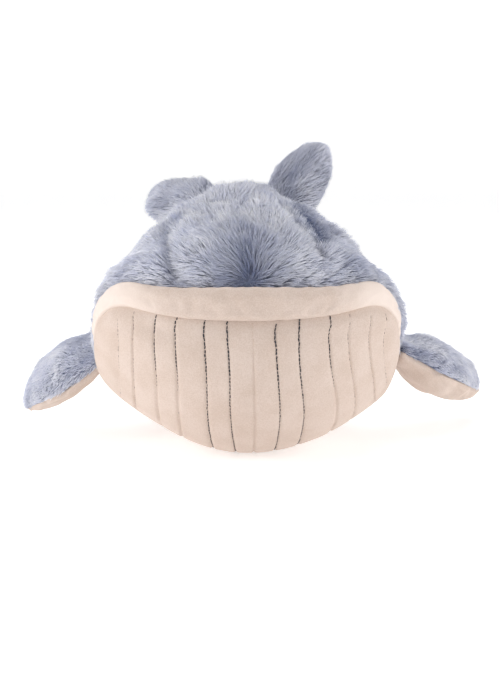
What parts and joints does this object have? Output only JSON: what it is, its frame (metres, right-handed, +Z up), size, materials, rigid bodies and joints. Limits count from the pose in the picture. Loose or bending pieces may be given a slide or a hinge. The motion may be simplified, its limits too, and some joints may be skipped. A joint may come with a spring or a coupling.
{
  "type": "plush whale",
  "caption": "Stuffed whale toy with a furry back, a pleated velour throat, a rolled lip, flippers and a tail with flukes.",
  "frame": {"origin": "middle of the flat patch of belly that the whale lies on", "axes": "-Y towards the nose, +Y towards the tail, +Z up out of the back, +X to the right as seen from in front"},
  "size_m": [0.4361, 0.49, 0.2482],
  "materials": {
    "back_fur": "blue-grey long-pile fur",
    "cream_velour": "short-pile velour",
    "stuffing": "polyester fibre filling",
    "dark_thread": "sewing thread",
    "cream_thread": "sewing thread",
    "eye_black": "glossy",
    "eye_washer": "matte"
  },
  "bodies": {
    "body": {"back_cover_left": "back_fur", "back_cover_right": "back_fur", "body_stuffing": "stuffing", "closing_seam_thread": "cream_thread", "left_eye": "eye_black", "left_eye_washer": "eye_washer", "lip_cover": "cream_velour", "lip_stuffing": "stuffing", "pleat_thread_left_1": "dark_thread", "pleat_thread_left_2": "dark_thread", "pleat_thread_left_3": "dark_thread", "pleat_thread_left_4": "dark_thread", "pleat_thread_left_5": "dark_thread", "pleat_thread_left_6": "dark_thread", "pleat_thread_right_1": "dark_thread", "pleat_thread_right_2": "dark_thread", "pleat_thread_right_3": "dark_thread", "pleat_thread_right_4": "dark_thread", "pleat_thread_right_5": "dark_thread", "pleat_thread_right_6": "dark_thread", "right_eye": "eye_black", "right_eye_washer": "eye_washer", "throat_cover": "cream_velour", "throat_seam_thread": "cream_thread"},
    "left_flipper": {"left_flipper_stuffing": "stuffing", "left_flipper_top_cover": "back_fur", "left_flipper_under_cover": "cream_velour"},
    "right_flipper": {"right_flipper_stuffing": "stuffing", "right_flipper_top_cover": "back_fur", "right_flipper_under_cover": "cream_velour"},
    "tail": {"tail_stuffing": "stuffing", "tail_top_cover": "back_fur", "tail_under_cover": "cream_velour"},
    "left_fluke": {"left_fluke_stuffing": "stuffing", "left_fluke_top_cover": "back_fur", "left_fluke_under_cover": "cream_velour"},
    "right_fluke": {"right_fluke_stuffing": "stuffing", "right_fluke_top_cover": "back_fur", "right_fluke_under_cover": "cream_velour"}
  },
  "joints": [
    {"name": "left_flipper_flap", "type": "hinge", "parent": "body", "child": "left_flipper", "pos_m": [-0.14176, 0.01002, 0.08174], "axis": [0.3934, 0.9103, -0.129], "range_deg": [-5, 50], "stiffness_Nm_per_rad": 0.12},
    {"name": "right_flipper_flap", "type": "hinge", "parent": "body", "child": "right_flipper", "pos_m": [0.14176, 0.01002, 0.08174], "axis": [0.3934, -0.9103, 0.129], "range_deg": [-14, 45], "stiffness_Nm_per_rad": 0.12},
    {"name": "tail_bend", "type": "hinge", "parent": "body", "child": "tail", "pos_m": [0, 0.165, 0.133], "axis": [1, 0, 0], "range_deg": [-25, 25], "stiffness_Nm_per_rad": 0.9},
    {"name": "left_fluke_fold", "type": "hinge", "parent": "tail", "child": "left_fluke", "pos_m": [-0.03074, 0.26964, 0.17938], "axis": [0.4064, 0.7162, 0.5673], "range_deg": [-35, 35], "stiffness_Nm_per_rad": 0.06},
    {"name": "right_fluke_fold", "type": "hinge", "parent": "tail", "child": "right_fluke", "pos_m": [0.03489, 0.26909, 0.17894], "axis": [0.3613, -0.7309, -0.579], "range_deg": [-40, 25], "stiffness_Nm_per_rad": 0.06}
  ]
}
